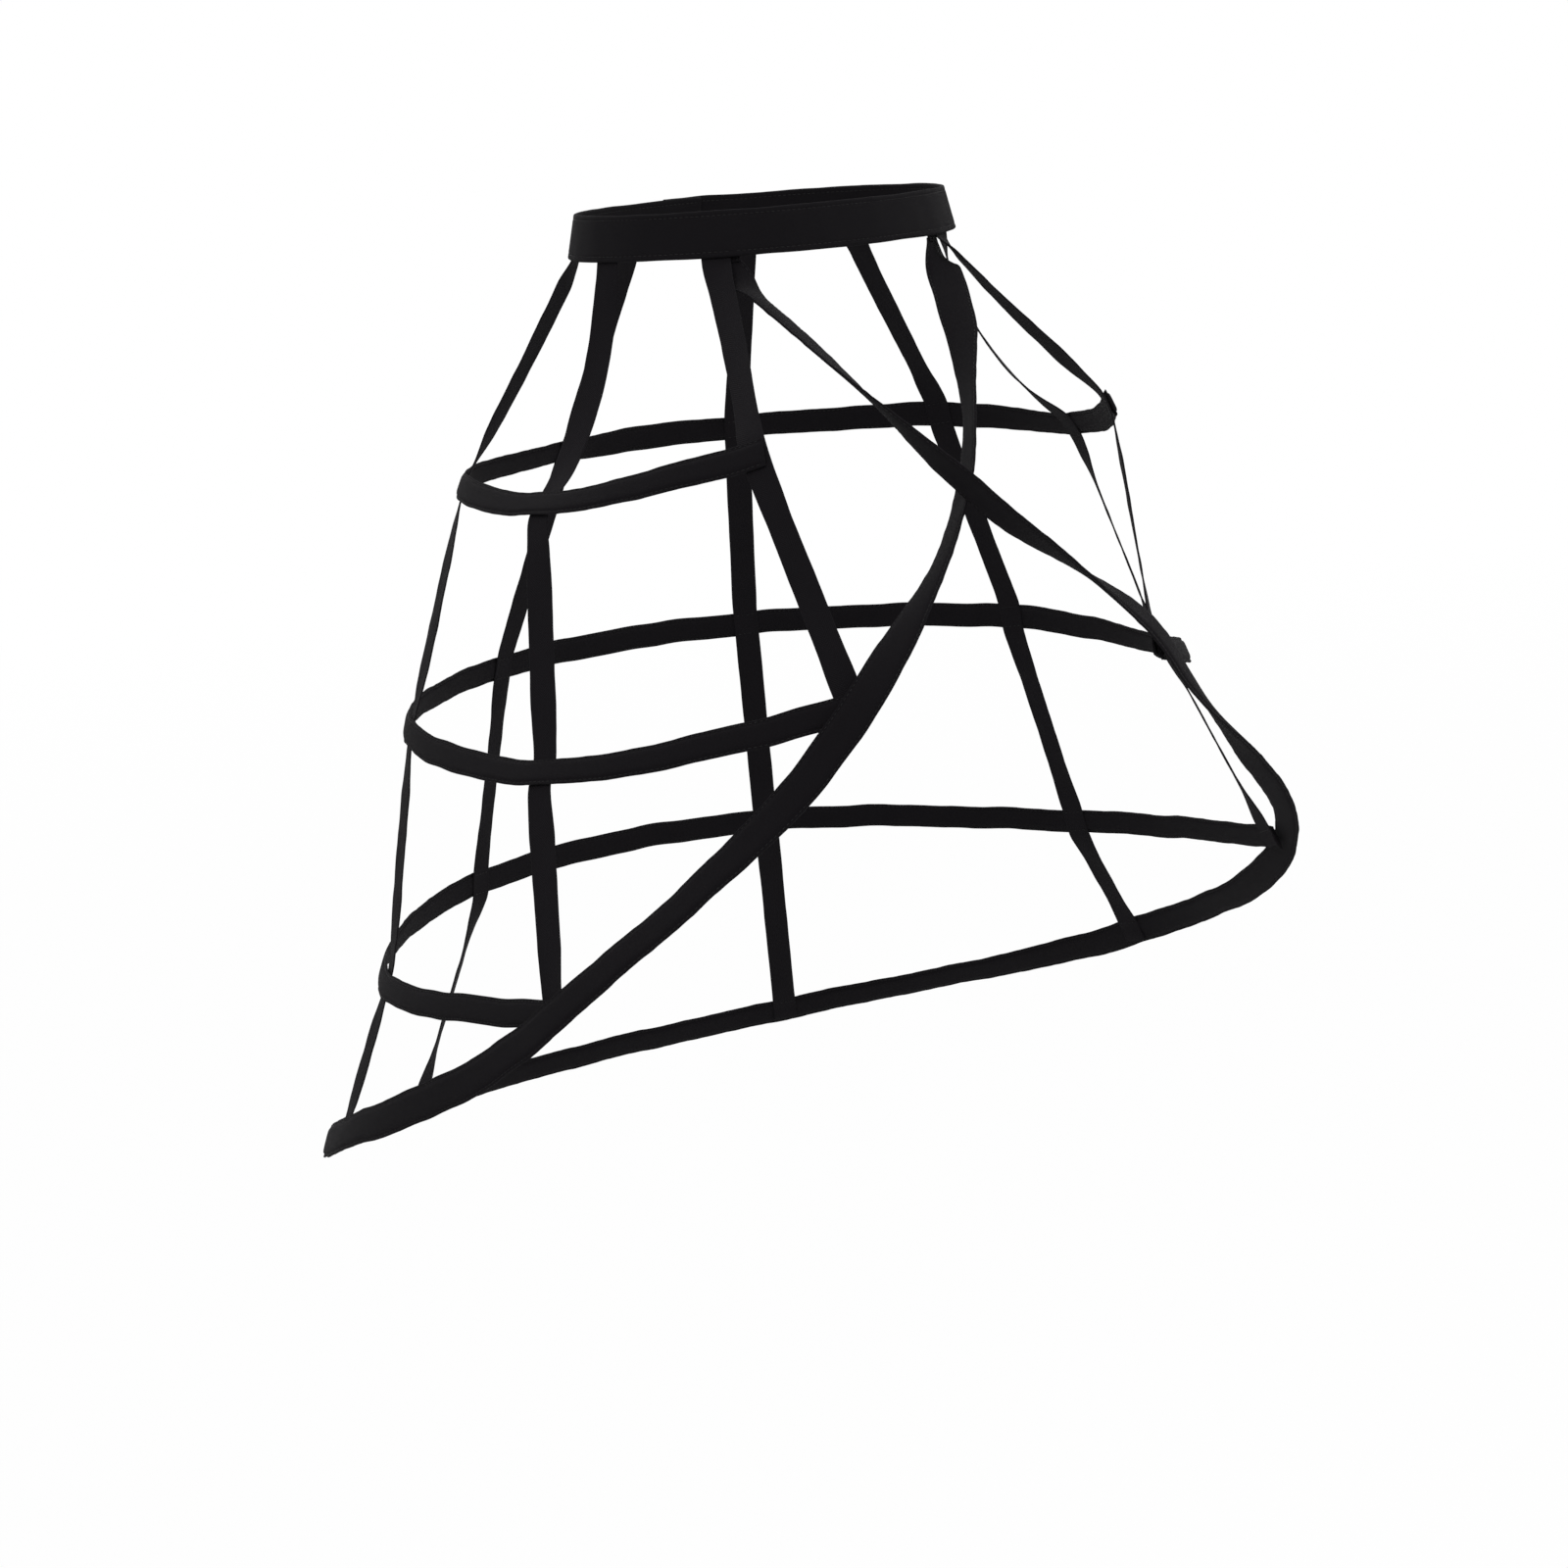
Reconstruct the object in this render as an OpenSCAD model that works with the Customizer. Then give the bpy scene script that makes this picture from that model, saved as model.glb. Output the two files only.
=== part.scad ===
// Crinoline cage: an open-fronted, high-low hoop frame hung from a waistband.
// The origin is the centre of the waistband's upper edge, +Z is up, the front
// faces -Y and the wearer's left side is +X. Angles are measured about the
// centre line, from 0 at the front to 180 at the back.

/* [Waistband] */
// Width of the waistband at its lower edge, side to side
waist_w = 244; // [200:1:300]
// Depth of the waistband at its lower edge, front to back
waist_d = 193; // [150:1:250]
// Height of the waistband
band_h = 26.5; // [18:0.5:40]
// How far the upper edge leans in from the lower edge
band_lean = 6; // [0:0.5:10]
// Thickness of the folded band
band_t = 2.4; // [1.6:0.1:4]
// Length of the lapped seam at the back
lap_l = 26; // [12:1:50]

/* [Hoop levels] */
// Drop of the top hoop below the waistband's upper edge, at the back
top_drop = 153; // [120:1:180]
// Drop of the middle hoop, at the back
middle_drop = 295; // [250:1:320]
// Drop of the lower hoop, at the back
lower_drop = 442; // [400:1:470]
// Drop of the hem at the side straps
hem_side_drop = 528; // [490:1:550]
// Drop of the hem at the back straps
hem_back_drop = 602; // [560:1:630]
// Drop of the hem at the middle of the back
hem_rear_drop = 607; // [560:1:640]
// Rise of the top hoop's front ends
top_rise = 28; // [0:1:35]
// Rise of the middle hoop's front ends
middle_rise = 36; // [0:1:45]
// Rise of the lower hoop's front ends
lower_rise = 26; // [0:1:35]

/* [Hoop reach] */
// Reach of the top hoop from the centre line at the front straps
top_front_r = 209; // [185:1:230]
// Reach of the top hoop at the side-front straps
top_side_front_r = 193; // [175:1:215]
// Reach of the top hoop at the side straps
top_side_r = 191; // [165:1:205]
// Reach of the top hoop at the back straps
top_back_r = 166; // [140:1:185]
// Reach of the middle hoop at the front straps
middle_front_r = 250; // [230:1:275]
// Reach of the middle hoop at the side-front straps
middle_side_front_r = 239; // [215:1:255]
// Reach of the middle hoop at the side straps
middle_side_r = 238; // [215:1:255]
// Reach of the middle hoop at the back straps
middle_back_r = 230; // [195:1:235]
// Reach of the lower hoop at the side-front straps
lower_side_front_r = 293; // [270:1:315]
// Reach of the lower hoop at the side straps
lower_side_r = 270; // [245:1:285]
// Reach of the lower hoop at the back straps
lower_back_r = 260; // [230:1:275]
// Reach of the hem at the side straps
hem_side_r = 309; // [285:1:330]
// Reach of the hem at the back straps
hem_back_r = 325; // [295:1:345]
// Reach of the hem at the middle of the back
hem_rear_r = 313; // [285:1:335]

/* [Straps] */
// Width of every strap
strap_w = 16.5; // [10:0.5:20]
// Thickness of the strap tape
strap_t = 1.6; // [1:0.1:2.4]
// Length of each strap's tail behind the waistband
tail_l = 16; // [8:1:18]
// Angle of the line that the front straps follow, at the waistband's upper edge
front_angle = 47; // [40:0.5:52]
// Angle of the side-front straps' line there
side_front_angle = 84; // [72:0.5:90]
// Angle of the side straps' line there
side_angle = 119; // [106:0.5:124]
// Angle of the back straps' line there
back_angle = 159; // [148:0.5:166]
// Angle at which the side-front straps are sewn to the waistband
side_front_tail_angle = 81.5; // [72:0.5:90]
// Angle at which the back straps are sewn to the waistband
back_tail_angle = 155; // [148:0.5:166]
// Drop over which the swing of each strap is measured
swing_drop = 100; // [50:1:200]
// Turn of the front straps towards the front, in each swing_drop
front_swing = 7.5; // [4:0.1:9]
// Turn of the side-front straps towards the front, in each swing_drop
side_front_swing = 5.1; // [2:0.1:6]
// Turn of the side straps towards the front, in each swing_drop
side_swing = 3.3; // [0:0.1:4]
// Turn of the back straps towards the front, in each swing_drop
back_swing = 1.1; // [0:0.1:3]
// Slack of the front straps above the top hoop
front_slack = 2; // [0:1:8]
// Slack of the side-front straps above the top hoop
side_front_slack = 15; // [0:1:18]
// Slack of the side straps above the top hoop
side_slack = 1; // [0:1:10]

/* [Strap faces] */
// Turn of the front straps' faces towards the front, above the top hoop
front_top_turn = -17; // [-30:1:30]
// Turn of the front straps' faces towards the front, below the top hoop
front_low_turn = -8; // [-30:1:30]
// Turn of the side-front straps' faces towards the front, above the top hoop
side_front_top_turn = 19; // [-30:1:30]
// Turn of the side-front straps' faces towards the front, below the top hoop
side_front_low_turn = 19; // [-30:1:30]
// Turn of the side straps' faces towards the front, above the top hoop
side_top_turn = -23; // [-30:1:30]
// Turn of the side straps' faces towards the front, below the top hoop
side_low_turn = 11; // [-30:1:30]
// Turn of the back straps' faces towards the front, above the top hoop
back_top_turn = -6; // [-30:1:30]
// Turn of the back straps' faces towards the front, below the top hoop
back_low_turn = 16; // [-30:1:30]

/* [Casings and bones] */
// Width of the three hoop casings
hoop_w = 16; // [12:0.5:20]
// Thickness of a hoop casing over its bone
hoop_t = 3.4; // [2.8:0.1:5]
// Length of a hoop casing past its front strap
hoop_tab = 6.5; // [6:0.5:12]
// Width of the hem casing
hem_w = 20.5; // [16:0.5:26]
// Thickness of the hem casing over its bone
hem_t = 3.8; // [3:0.1:5]
// Width of the stitched margin on each side of a bone's channel
margin = 2.2; // [1.5:0.1:3.5]
// Thickness of a stitched margin
margin_t = 1.6; // [1:0.1:2.4]
// Thickness of the flat bones
bone_t = 1.2; // [0.8:0.1:1.6]
// Length of the cap at each bone end
tip_l = 5; // [3:0.5:6]
// Room round a bone in its channel
bone_play = 0.3; // [0.2:0.05:0.4]
// Room for the bend of the hem casing where it passes over the end of a hoop
hem_room = 2; // [0.8:0.1:2.6]
// How far the hem casing is turned to lie along the face of a hoop's end, as a share
hem_press = 0.8; // [0:0.1:1]
// How far the hem casing's middle lies below the ends of the middle hoop
middle_hem_below = 6; // [0:0.5:9]
// How far it lies behind those ends
middle_hem_behind = 1; // [0:0.5:4]
// How far the hem casing's middle lies below the ends of the lower hoop
lower_hem_below = 10; // [0:0.5:12]
// How far it lies behind those ends
lower_hem_behind = 4; // [0:0.5:8]
// Gap between pieces that are sewn face to face
lap_gap = 0.5; // [0.3:0.05:1]

/* [Front crossing] */
// Reach of the crossing in front of the centre line
cross_r = 200; // [180:1:220]
// Drop of the crossing below the waistband's upper edge
cross_drop = 162; // [135:1:175]
// Angle of the crossing straps at the waistband
cross_angle = 45; // [40:0.5:50]
// Length below the waistband in which a crossing strap turns on edge
turn_l = 30; // [20:1:40]
// How far it stands out of the straight way to the crossing, where it has turned
turn_bulge = 6; // [0:1:12]
// Swing of its face towards the back, once it has turned
edge_swing = -48; // [-60:1:30]
// Tilt of that face
edge_tilt = 48; // [20:1:70]
// Swing of its face towards the back where the straps cross
cross_swing = 14; // [-20:1:40]
// Tilt of that face
cross_tilt = 22; // [0:1:70]
// Thickness of the empty casing in the crossing straps, as a share of its full thickness
cross_flat = 0.5; // [0.4:0.05:1]

/* [Hidden] */

cloth = "#1b1a1c";
tape = "#201e21";
steel = "#9b9ea3";
cap_white = "#d8d8d4";

up = [0, 0, 1];
band_steps = 76;
hoop_steps = 6;
hem_steps = 11;
span_steps = 4;
// Names of the four straps of one side, as places in the lists below
FRONT = 0;
SIDE_FRONT = 1;
SIDE = 2;
BACK = 3;
strap_angles = [front_angle, side_front_angle, side_angle, back_angle];
strap_tail_angles = [front_angle, side_front_tail_angle, side_angle, back_tail_angle];
strap_swings = [front_swing, side_front_swing, side_swing, back_swing];
strap_slacks = [front_slack, side_front_slack, side_slack, 0];
strap_top_turns = [front_top_turn, side_front_top_turn, side_top_turn, back_top_turn];
strap_low_turns = [front_low_turn, side_front_low_turn, side_low_turn, back_low_turn];

// Vectors and lists
function unit(v) = v / norm(v);
function mix(a, b, t) = a + (b - a) * t;
function ease(t) = t * t * (3 - 2 * t);
function flip(p) = [-p.x, p.y, p.z];
function reversed(list) = [for (i = [len(list) - 1:-1:0]) list[i]];
function at(angle, r, z) = [r * sin(angle), -r * cos(angle), z];
function across(v, n) = v - n * (v * n);
function spun(v, axis, angle) = v * cos(angle) + cross(axis, v) * sin(angle);

// Smooth curve through keys, with steps points from each key to the next
function mean_pace(a, b) = (unit(a) * norm(b) + unit(b) * norm(a)) / (norm(a) + norm(b));
function key_pace(k, i) =
    let (n = len(k) - 1)
    i == 0 ? (3 * unit(k[1] - k[0]) - key_pace(k, 1)) / 2
    : i == n ? (3 * unit(k[n] - k[n - 1]) - key_pace(k, n - 1)) / 2
    : mean_pace(k[i] - k[i - 1], k[i + 1] - k[i]);
function spline_point(p, q, pace_p, pace_q, t) =
    mix(p, q, ease(t)) + norm(q - p) * t * (1 - t) * (pace_p * (1 - t) - pace_q * t);
function paced(keys, paces, steps) =
    let (n = len(keys) - 1)
    concat([for (i = [0:n - 1], j = [0:steps - 1])
        spline_point(keys[i], keys[i + 1], paces[i], paces[i + 1], j / steps)], [keys[n]]);
function spline(keys, steps) = paced(keys, [for (i = [0:len(keys) - 1]) key_pace(keys, i)], steps);
function heading(path, i) = unit(path[min(i + 1, len(path) - 1)] - path[max(i - 1, 0)]);

// A frame is a place, the direction across the strip's width and the direction out of its face
function frame(place, along, out) =
    let (wide = unit(cross(along, out)))
    [place, wide, cross(wide, along)];
function track(path, outs) = [for (i = [0:len(path) - 1]) frame(path[i], heading(path, i), outs[i])];

// Sections are lists of [out, across] pairs, anticlockwise
function strip_section(t, w) = [[t / 2, -w / 2], [t / 2, w / 2], [-t / 2, w / 2], [-t / 2, -w / 2]];
function casing_section(t, w) =
    let (c = w / 2 - margin)
    [[t / 2, -c], [t / 2, c], [margin_t / 2, w / 2], [-margin_t / 2, w / 2],
     [-t / 2, c], [-t / 2, -c], [-margin_t / 2, -w / 2], [margin_t / 2, -w / 2]];
function channel_section(w) =
    let (h = bone_t / 2 + bone_play, c = w / 2 - margin - bone_play, e = bone_play)
    [[h, e - c], [h, c - e], [h - e, c], [e - h, c], [-h, c - e], [-h, e - c], [e - h, -c], [h - e, -c]];
function bone_w(w) = w - 2 * margin - 4 * bone_play;

function placed(tr, section, flats) =
    [for (i = [0:len(tr) - 1], s = section) tr[i][0] + tr[i][2] * s[0] * flats[i] + tr[i][1] * s[1]];
// The two faces of a strip are split along the same diagonals, so that a turning strip keeps its thickness
function skin(first, rings, n, inward) =
    [for (i = [0:rings - 2], j = [0:n - 1])
        let (a = first + i * n + j, b = first + i * n + (j + 1) % n, c = b + n, d = a + n,
            behind = abs(j - n / 2) < n / 4,
            halves = behind ? [[a, d, b], [d, c, b]] : [[a, d, c], [a, c, b]])
        each inward ? [for (h = halves) reversed(h)] : halves];
function ones(tr) = [for (f = tr) 1];

// Solid strip along a track
module strip(tr, section) {
    n = len(section);
    last = (len(tr) - 1) * n;
    caps = [[for (j = [0:n - 1]) j], [for (j = [n - 1:-1:0]) last + j]];
    polyhedron(placed(tr, section, ones(tr)), concat(skin(0, len(tr), n, false), caps));
}

// Flat tube along a track, open at both ends
module tube(tr, outer, inner, flats) {
    n = len(outer);
    inside = len(tr) * n;
    last = (len(tr) - 1) * n;
    rims = [for (j = [0:n - 1], half = [0, 1])
        let (k = (j + 1) % n)
        each half == 0 ? [[j, k, inside + k], [last + k, last + j, inside + last + j]]
            : [[j, inside + k, inside + j], [last + k, inside + last + j, inside + last + k]]];
    polyhedron(concat(placed(tr, outer, flats), placed(tr, inner, flats)),
        concat(skin(0, len(tr), n, false), skin(inside, len(tr), n, true), rims));
}

// Lean of the cage between two levels, from the vertical
function lean(r0, drop0, r1, drop1) = atan2(r1 - r0, drop1 - drop0);
waist_lean = lean(waist_w / 2, band_h, top_side_r, top_drop);
upper_lean = lean(top_side_r, top_drop, middle_side_r, middle_drop);
mid_lean = lean(middle_side_r, middle_drop, lower_side_r, lower_drop);
hem_lean = lean(lower_side_r, lower_drop, hem_side_r, hem_side_drop);

// Each hoop: first strap, drop, rise of its ends, tilt of its face, reach at each strap
top_hoop = [FRONT, top_drop, top_rise, (waist_lean + upper_lean) / 2,
    [top_front_r, top_side_front_r, top_side_r, top_back_r]];
middle_hoop = [FRONT, middle_drop, middle_rise, (upper_lean + mid_lean) / 2,
    [middle_front_r, middle_side_front_r, middle_side_r, middle_back_r]];
lower_hoop = [SIDE_FRONT, lower_drop, lower_rise, (mid_lean + hem_lean) / 2,
    [lower_side_front_r, lower_side_r, lower_back_r]];

function strap_angle(s, drop) = strap_angles[s] - strap_swings[s] * drop / swing_drop;
function hoop_side(h) = [for (i = [0:len(h[4]) - 1])
    at(strap_angle(h[0] + i, h[1]), h[4][i], (i == 0 ? h[2] : 0) - h[1])];
// Keys of a hoop from its right front end round the back to its left front end
function hoop_keys(h) =
    let (side = hoop_side(h))
    concat([for (p = side) flip(p)], [at(180, h[4][len(h[4]) - 1], -h[1])], reversed(side));
function hoop_out(h, along) = cos(h[3]) * unit([-along.y, along.x, 0]) + sin(h[3]) * up;
function hoop_path(h) = spline(hoop_keys(h), hoop_steps);
function hoop_track(path, h) = track(path, [for (i = [0:len(path) - 1]) hoop_out(h, heading(path, i))]);
// How far the sides of a strap on the inside of a track's frame i would cut into its bend
function bend_room(tr, i) =
    let (near = tr[max(0, i - 1)][0], far = tr[min(len(tr) - 1, i + 1)][0], f = tr[i])
    strap_w / 2 * max([for (p = [near, far]) p == f[0] ? 0 : unit(f[0] - p) * f[2]]);
// Frame of a hoop where the left strap s crosses it, and the room for its bend
function station(h, s) =
    let (tr = hoop_track(hoop_path(h), h), i = len(tr) - 1 - (s - h[0]) * hoop_steps)
    [tr[i], bend_room(tr, i)];
function tabbed(path, tab) =
    let (n = len(path) - 1)
    concat([path[0] - heading(path, 0) * tab], path, [path[n] + heading(path, n) * tab]);

module hoop_casing(h) {
    tr = hoop_track(tabbed(hoop_path(h), hoop_tab), h);
    color(cloth) tube(tr, casing_section(hoop_t, hoop_w), channel_section(hoop_w), ones(tr));
}

module hoop_bone(h) {
    color(steel) strip(hoop_track(hoop_path(h), h), strip_section(bone_t, bone_w(hoop_w)));
}

// Caps that close the two ends of a bone, with their far corners cut off
tip_gap = 0.1;
tip_taper = 0.6;
module bone_tips(tr, w) {
    n = len(tr) - 1;
    for (f = [tr[0], tr[n]]) {
        along = cross(f[2], f[1]) * (f == tr[0] ? -1 : 1);
        ends = [for (d = [tip_gap, tip_l * tip_taper, tip_l]) f[0] + along * d];
        color(cap_white) hull() {
            strip([for (i = [0, 1]) frame(ends[i], along, f[2])], strip_section(bone_t, w));
            strip([for (i = [1, 2]) frame(ends[i], along, f[2])], strip_section(bone_t, w * tip_taper));
        }
    }
}

module hoop_bone_tips(h) {
    bone_tips(hoop_track(hoop_path(h), h), bone_w(hoop_w));
}

// Frame on the waistband's inner face at an angle and a drop
function band_frame(angle, drop) =
    let (a = waist_w / 2 - band_t - band_lean * (1 - drop / band_h),
        b = a * waist_d / waist_w,
        r = a * b / norm([b * sin(angle), a * cos(angle)]),
        p = at(angle, r, -drop),
        side = unit([p.x / (a * a), p.y / (b * b), 0]),
        out = unit(side + up * band_lean / band_h))
    [p, side, out];
// Waistband: one folded strip round the waist, whose left end laps over its right end at the back
fold = band_t / 3;
lap_turn = lap_l / waist_d * 180 / PI;
function band_section(t, w) = [[t / 2, fold - w / 2], [t / 2, w / 2 - fold], [t / 2 - fold, w / 2],
    [fold - t / 2, w / 2], [-t / 2, w / 2 - fold], [-t / 2, fold - w / 2], [fold - t / 2, -w / 2],
    [t / 2 - fold, -w / 2]];
function band_angle(i) = (180 + lap_turn) * (2 * i / band_steps - 1);
// The lapping end rises off the band in a lap's length, to lie outside the other end
function lap_lift(angle) = (band_t + lap_gap) * ease(min(1, max(0, (angle - 180) / lap_turn + 3) / 2));
band_frames = [for (i = [0:band_steps]) band_frame(band_angle(i), band_h / 2)];
band_path = [for (i = [0:band_steps])
    band_frames[i][0] + band_frames[i][2] * (band_t / 2 + lap_lift(band_angle(i)))];
module waistband() {
    tr = track(band_path, [for (f = band_frames) f[2]]);
    color(cloth) strip(tr, band_section(band_t, band_h));
}

// Room for the sharpest bend of the waistband behind a flat tail
tail_room = strap_w * strap_w * waist_w / (4 * waist_d * waist_d);
// Tail of a strap behind the waistband, depth away from its inner face, down to a little below the band
function tail(angle, depth, below) = [for (drop = [band_h - tail_l, band_h + below])
    let (f = band_frame(angle, drop))
    [f[0] - f[2] * (depth + tail_room), f[2]]];

// Lap of a strap on the inner face of a casing: f is the casing's frame, dir the strap's heading
function lap(f, dir, depth, reach) =
    let (c = f[0] - f[2] * (depth + lap_gap + strap_t / 2), d = unit(across(dir, f[2])))
    [for (s = reach) [c + d * s, f[2]]];
// Run between two laps: its faces pass from one to the other, with a further turn between them
function run(a, b, slack, turn) = [for (i = [1:span_steps - 1])
    let (t = i / span_steps, out = spun(unit(mix(a[1], b[1], t)), unit(b[0] - a[0]), turn))
    [mix(a[0], b[0], t) - out * slack * 4 * t * (1 - t), out]];
function ended(list) = list[len(list) - 1];

hem_side = at(strap_angle(SIDE, hem_side_drop), hem_side_r, -hem_side_drop);
hem_back = at(strap_angle(BACK, hem_back_drop), hem_back_r, -hem_back_drop);
hem_rear = at(180, hem_rear_r, -hem_rear_drop);
function hem_out(p) = cos(hem_lean) * unit([p.x, p.y, 0]) + sin(hem_lean) * up;

// Places where left strap s is sewn, from the top hoop down: frame, depth and width of each casing
hoops = [top_hoop, middle_hoop, lower_hoop];
function hem_stop(key) =
    let (i = key * hem_steps + 1)
    [hem_track[i], hem_t / 2 + bend_room(hem_track, i), hem_w];
function stops(s) =
    let (count = s == FRONT ? 2 : 3,
        crossed = [for (i = [0:count - 1])
            let (st = station(hoops[i], s))
            [st[0], hoop_t / 2 + st[1], hoop_w]])
    s == SIDE ? concat(crossed, [hem_stop(hem_side_key)])
    : s == BACK ? concat(crossed, [hem_stop(hem_back_key)]) : crossed;

// Share of the last casing's half width that a strap's end covers
end_share = 0.8;
function strap_points(s) =
    let (st = stops(s), n = len(st) - 1, top = tail(strap_tail_angles[s], lap_gap + strap_t / 2, strap_t),
        laps = [for (i = [0:n])
            let (before = i == 0 ? ended(top)[0] : st[i - 1][0][0],
                after = i == n ? st[i][0][0] : st[i + 1][0][0],
                half = st[i][2] / 2)
            lap(st[i][0], after - before, st[i][1],
                [-half - lap_gap, half * (i == n ? end_share : 1) + lap_gap])],
        legs = [for (i = [0:n])
            let (from = i == 0 ? ended(top) : ended(laps[i - 1]),
                free = i == 0 ? run(from, laps[i][0], strap_slacks[s], strap_top_turns[s])
                    : run(from, laps[i][0], 0, strap_low_turns[s]))
            concat(free, laps[i])])
    concat(top, [for (leg = legs) each leg]);

module strap(s) {
    points = strap_points(s);
    tr = track([for (p = points) p[0]], [for (p = points) p[1]]);
    color(tape) strip(tr, strip_section(strap_t, strap_w));
}

module right_side() {
    mirror([1, 0, 0]) children();
}

// Hem casing: from the right of the waistband, across the front, round the hem and back across to the left
hem_lift = hoop_t / 2 + lap_gap + hem_t / 2 + hem_room;
// Place of the casing on the outer face of a hoop's end, behind and below the end's own middle
function laid(f, behind, below) = f[0] + cross(f[1], f[2]) * behind - f[1] * below + f[2] * hem_lift;
middle_end = station(middle_hoop, FRONT)[0];
lower_end = station(lower_hoop, SIDE_FRONT)[0];
// The two straps cross on edge, and the one from the right is in front
cross_gap = (hem_w + lap_gap) / 2;
cross_before = [0, -cross_gap - cross_r, -cross_drop];
cross_behind = [0, cross_gap - cross_r, -cross_drop];
function edgewise(swing, tilt) = [cos(swing) * cos(tilt), sin(swing) * cos(tilt), sin(tilt)];
edge_out = edgewise(edge_swing, edge_tilt);
cross_out = edgewise(cross_swing, cross_tilt);
function turn_place(top, crossing, out) = top + unit(crossing - top) * turn_l + out * turn_bulge;
// Tails of the two straps, behind the front straps' own tails
hem_tail = tail(cross_angle, 2 * lap_gap + strap_t + hem_t * cross_flat / 2, 3 * strap_t);
hem_top = ended(hem_tail);
// Places that the casing passes, and the way its face is turned at each
hem_left = [laid(middle_end, middle_hem_behind, middle_hem_below),
    laid(lower_end, lower_hem_behind, lower_hem_below), hem_side, hem_back];
hem_start = flip(hem_top[0]);
hem_end = hem_top[0];
hem_places = concat([hem_start, turn_place(hem_start, cross_before, flip(hem_top[1])), cross_before],
    hem_left, [hem_rear], [for (p = reversed(hem_left)) flip(p)],
    [cross_behind, turn_place(hem_end, cross_behind, hem_top[1]), hem_end]);
hem_side_key = 5;
hem_back_key = 6;
hem_left_outs = [middle_end[2], lower_end[2], hem_out(hem_side), hem_out(hem_back)];
hem_key_outs = concat([flip(hem_top[1]), edge_out, cross_out], hem_left_outs, [hem_out(hem_rear)],
    [for (v = reversed(hem_left_outs)) flip(v)], [flip(cross_out), flip(edge_out), hem_top[1]]);
// Over a hoop's end the casing is pressed towards the hoop's face
hem_pressed = [3, 4, 10, 11];
function hem_pace(i) =
    let (v = key_pace(hem_places, i), out = hem_key_outs[i])
    len(search(i, hem_pressed)) == 0 ? v : v - out * (v * out) * hem_press;
hem_curve = paced(hem_places, [for (i = [0:len(hem_places) - 1]) hem_pace(i)], hem_steps);
hem_outs = [for (i = [0:len(hem_curve) - 1])
    let (k = min(floor(i / hem_steps), len(hem_places) - 2), t = i / hem_steps - k)
    unit(mix(hem_key_outs[k], hem_key_outs[k + 1], ease(t)))];
hem_path = concat([flip(hem_tail[0][0])], hem_curve, [hem_tail[0][0]]);
hem_track = track(hem_path, concat([flip(hem_tail[0][1])], hem_outs, [hem_tail[0][1]]));
// The casing is full where the bone is and flat in the crossing straps
cross_first = 2 * hem_steps;
bone_first = 3 * hem_steps;
bone_last = len(hem_curve) - 1 - bone_first;
function hem_full(i) =
    let (t = min(i - cross_first, len(hem_curve) - 1 - cross_first - i) / hem_steps)
    mix(cross_flat, 1, ease(min(1, max(0, t))));
hem_flats = concat([cross_flat], [for (i = [0:len(hem_curve) - 1]) hem_full(i)], [cross_flat]);
hem_bone_full = [for (i = [bone_first:bone_last]) hem_track[i + 1]];
// Frame a cap's length before the first one, on the way to the second
function drawn_in(f, next) =
    let (way = next[0] - f[0], along = unit(way))
    frame(f[0] + along * (tip_l + bone_play), along, mix(f[2], next[2], tip_l / norm(way)));
function turned_round(f) = [f[0], -f[1], f[2]];
hem_bone_track =
    let (tr = hem_bone_full, n = len(tr) - 1)
    concat([drawn_in(tr[0], tr[1])], [for (i = [1:n - 1]) tr[i]],
        [turned_round(drawn_in(tr[n], tr[n - 1]))]);

module hem_casing() {
    color(cloth) tube(hem_track, casing_section(hem_t, hem_w), channel_section(hem_w), hem_flats);
}

module hem_bone() {
    color(steel) strip(hem_bone_track, strip_section(bone_t, bone_w(hem_w)));
}

waistband();
hoop_casing(top_hoop);  // top_hoop_casing
hoop_bone(top_hoop);  // top_hoop_bone
hoop_bone_tips(top_hoop);  // top_bone_tips
hoop_casing(middle_hoop);  // middle_hoop_casing
hoop_bone(middle_hoop);  // middle_hoop_bone
hoop_bone_tips(middle_hoop);  // middle_bone_tips
hoop_casing(lower_hoop);  // lower_hoop_casing
hoop_bone(lower_hoop);  // lower_hoop_bone
hoop_bone_tips(lower_hoop);  // lower_bone_tips
hem_casing();
hem_bone();
bone_tips(hem_bone_track, bone_w(hem_w));  // hem_bone_tips
right_side() strap(FRONT);  // right_front_strap
strap(FRONT);  // left_front_strap
right_side() strap(SIDE_FRONT);  // right_side_front_strap
strap(SIDE_FRONT);  // left_side_front_strap
right_side() strap(SIDE);  // right_side_strap
strap(SIDE);  // left_side_strap
right_side() strap(BACK);  // right_back_strap
strap(BACK);  // left_back_strap
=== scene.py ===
"""Crinoline cage: a black waistband, tapes, boned hoops and a boned hem, sewn together.

Lengths are in metres, in the part's own frame: the origin is the centre of the waistband's
upper edge, +Z is up, the open front faces -Y and the wearer's left side is +X.
"""
import math

import bpy
import numpy as np
from mathutils import Matrix, Vector


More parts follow.
